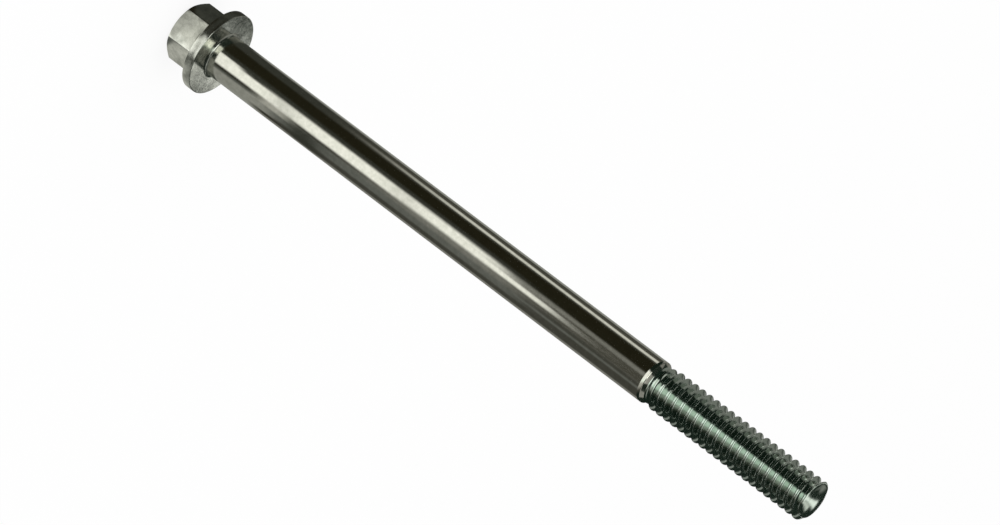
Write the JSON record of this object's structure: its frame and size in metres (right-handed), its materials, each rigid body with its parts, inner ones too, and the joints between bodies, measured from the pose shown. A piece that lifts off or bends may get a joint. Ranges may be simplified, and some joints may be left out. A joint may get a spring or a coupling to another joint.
{
  "type": "seat mounting bolt",
  "caption": "Long hexagon flange bolt with a plain shank and a threaded end, for fixing a seat to its frame or base.",
  "frame": {"origin": "centre of the head's flat end face, which the bolt stands on", "axes": "+Z along the bolt's axis from the head to the threaded point; one flat of the hexagon faces -Y"},
  "size_m": [0.0124, 0.0124, 0.1141],
  "materials": {
    "plated_steel": "bright zinc-plated steel, slightly speckled, with fine drawing marks along the shank"
  },
  "bodies": {
    "root": {"seat_bolt": "plated_steel"}
  },
  "joints": []
}
